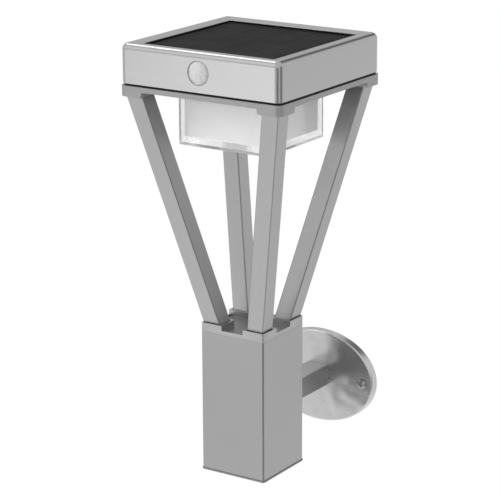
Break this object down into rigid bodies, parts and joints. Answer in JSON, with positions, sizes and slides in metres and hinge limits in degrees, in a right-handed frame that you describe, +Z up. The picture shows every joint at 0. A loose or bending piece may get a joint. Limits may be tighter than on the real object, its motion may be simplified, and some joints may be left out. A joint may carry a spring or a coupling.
{
  "type": "solar wall light",
  "caption": "Lantern-style solar wall light: square head with solar panel, motion sensor and box diffuser on leaning legs, a square post, and an arm on an oval wall plate.",
  "frame": {"origin": "on the wall plane, behind the middle of the oval wall plate", "axes": "+Z up, +Y into the wall, the lamp stands out along -Y, +X to the right seen from the front"},
  "size_m": [0.152, 0.1903, 0.3663],
  "materials": {
    "brushed_steel": "brushed, grain along each tube",
    "cast_alloy": "fine satin, die cast",
    "plug_alloy": "as cast",
    "fastener_steel": "turned, bright",
    "zinc_steel": "zinc plated",
    "grey_cap": "moulded, grey",
    "black_plastic": "moulded, fine texture",
    "black_rubber": "matt",
    "panel_glass": "smooth, slightly textured",
    "solar_cell": "dark silicon",
    "panel_board": "laminated board",
    "white_lens": "moulded lens facets",
    "circuit_board": "solder mask",
    "board_part": "moulded packages",
    "battery_can": "shrink sleeve",
    "clear_acrylic": "polished, clear",
    "frosted_acrylic": "frosted, milky",
    "white_board": "white solder mask",
    "led_chip": "phosphor",
    "button_rubber": "soft touch",
    "switch_plastic": "moulded"
  },
  "bodies": {
    "lamp": {"post": "brushed_steel", "bottom_cap": "grey_cap", "collar": "cast_alloy", "collar_screws": "fastener_steel", "leg_front_left": "brushed_steel", "leg_front_right": "brushed_steel", "leg_back_left": "brushed_steel", "leg_back_right": "brushed_steel", "leg_foot_plugs": "plug_alloy", "leg_head_plugs": "plug_alloy", "leg_foot_screws": "fastener_steel", "leg_head_screws": "fastener_steel", "upper_frame": "cast_alloy", "head_base": "black_plastic", "base_screws": "fastener_steel", "head_cover": "brushed_steel", "panel_seal": "black_rubber", "solar_glass": "panel_glass", "solar_cells": "solar_cell", "panel_backboard": "panel_board", "panel_carrier": "black_plastic", "sensor_lens": "white_lens", "sensor_housing": "black_plastic", "sensor_detector": "fastener_steel", "sensor_board": "circuit_board", "battery_holder": "black_plastic", "battery_cell": "battery_can", "battery_contacts": "fastener_steel", "control_board": "circuit_board", "board_parts": "board_part", "board_screws": "fastener_steel", "diffuser_seal": "black_rubber", "diffuser_shell": "clear_acrylic", "diffuser_core": "frosted_acrylic", "led_board": "white_board", "led_chips": "led_chip", "led_screws": "fastener_steel", "switch_body": "switch_plastic", "arm": "brushed_steel", "arm_plugs": "plug_alloy", "arm_post_screws": "fastener_steel", "arm_plate_screws": "fastener_steel", "wall_plate": "brushed_steel", "wall_bracket": "zinc_steel", "bracket_nuts": "zinc_steel", "plate_screws": "fastener_steel"},
    "button": {"mode_button": "button_rubber", "switch_plunger": "switch_plastic"}
  },
  "joints": [
    {"name": "button_press", "type": "slide", "parent": "lamp", "child": "button", "axis": [0, 0, 1], "range_m": [0, 0.001], "stiffness_N_per_m": 1200, "springref_m": -0.0005}
  ]
}
